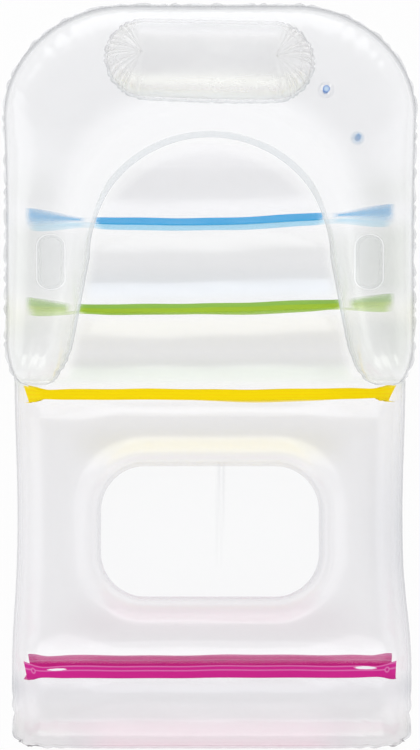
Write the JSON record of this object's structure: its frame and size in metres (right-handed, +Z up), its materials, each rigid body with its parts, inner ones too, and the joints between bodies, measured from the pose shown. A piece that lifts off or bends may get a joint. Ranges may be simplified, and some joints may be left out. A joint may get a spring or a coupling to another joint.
{
  "type": "inflatable pool chair",
  "caption": "Inflatable pool lounger: clear film mat with coloured cross baffles, seat window, horseshoe arm collar and head pillow.",
  "frame": {"origin": "middle of the chair's length and width, on the surface it lies on", "axes": "+Y along the chair towards its head end, +Z up, X across the chair"},
  "size_m": [0.858, 1.584, 0.3724],
  "materials": {
    "clear_film": "clear glossy vinyl film",
    "window_film": "clear glossy vinyl film",
    "grip_film": "clear vinyl patch with welded outline",
    "blue_film": "translucent blue vinyl film",
    "green_film": "translucent green vinyl film",
    "yellow_film": "yellow vinyl film",
    "magenta_film": "translucent magenta vinyl film",
    "valve_plastic": "soft blue moulded vinyl"
  },
  "bodies": {
    "back": {"back_top_sheet": "clear_film", "back_bottom_sheet": "clear_film", "blue_baffle": "blue_film", "green_baffle": "green_film", "yellow_baffle": "yellow_film", "collar_top_sheet": "clear_film", "collar_bottom_sheet": "clear_film", "pillow_top_sheet": "clear_film", "left_grip_patch": "grip_film", "right_grip_patch": "grip_film", "collar_valve_base": "valve_plastic", "mat_valve_base": "valve_plastic"},
    "seat": {"seat_top_sheet": "clear_film", "seat_bottom_sheet": "clear_film", "seat_window_panel": "window_film", "magenta_baffle": "magenta_film"},
    "foot": {"foot_top_sheet": "clear_film", "foot_bottom_sheet": "clear_film"},
    "collar_stem": {"collar_valve_stem": "valve_plastic"},
    "collar_plug": {"collar_valve_plug": "valve_plastic"},
    "collar_flap": {"collar_valve_flap": "valve_plastic"},
    "mat_stem": {"mat_valve_stem": "valve_plastic"},
    "mat_plug": {"mat_valve_plug": "valve_plastic"},
    "mat_flap": {"mat_valve_flap": "valve_plastic"}
  },
  "joints": [
    {"name": "seat_fold", "type": "hinge", "parent": "back", "child": "seat", "pos_m": [0, -0.02708, 0.1187], "axis": [-1, 0, 0], "range_deg": [0, 60]},
    {"name": "foot_fold", "type": "hinge", "parent": "seat", "child": "foot", "pos_m": [0, -0.62615, 0.1187], "axis": [-1, 0, 0], "range_deg": [0, 60]},
    {"name": "collar_stem_push", "type": "slide", "parent": "back", "child": "collar_stem", "axis": [0, 0, -1], "range_m": [0, 0.01]},
    {"name": "collar_plug_open", "type": "hinge", "parent": "collar_stem", "child": "collar_plug", "pos_m": [0.224, 0.595, 0.32505], "axis": [0, -1, 0], "range_deg": [0, 110]},
    {"name": "collar_flap_open", "type": "hinge", "parent": "collar_stem", "child": "collar_flap", "pos_m": [0.2252, 0.595, 0.30675], "axis": [0, 1, 0], "range_deg": [0, 45]},
    {"name": "mat_stem_pull", "type": "slide", "parent": "back", "child": "mat_stem", "axis": [0, 0, -1], "range_m": [0, 0.01]},
    {"name": "mat_plug_open", "type": "hinge", "parent": "mat_stem", "child": "mat_plug", "pos_m": [0.325, 0.56, 0.00165], "axis": [0, 1, 0], "range_deg": [0, 110]},
    {"name": "mat_flap_open", "type": "hinge", "parent": "mat_stem", "child": "mat_flap", "pos_m": [0.3262, 0.56, 0.01995], "axis": [0, -1, 0], "range_deg": [0, 45]}
  ]
}
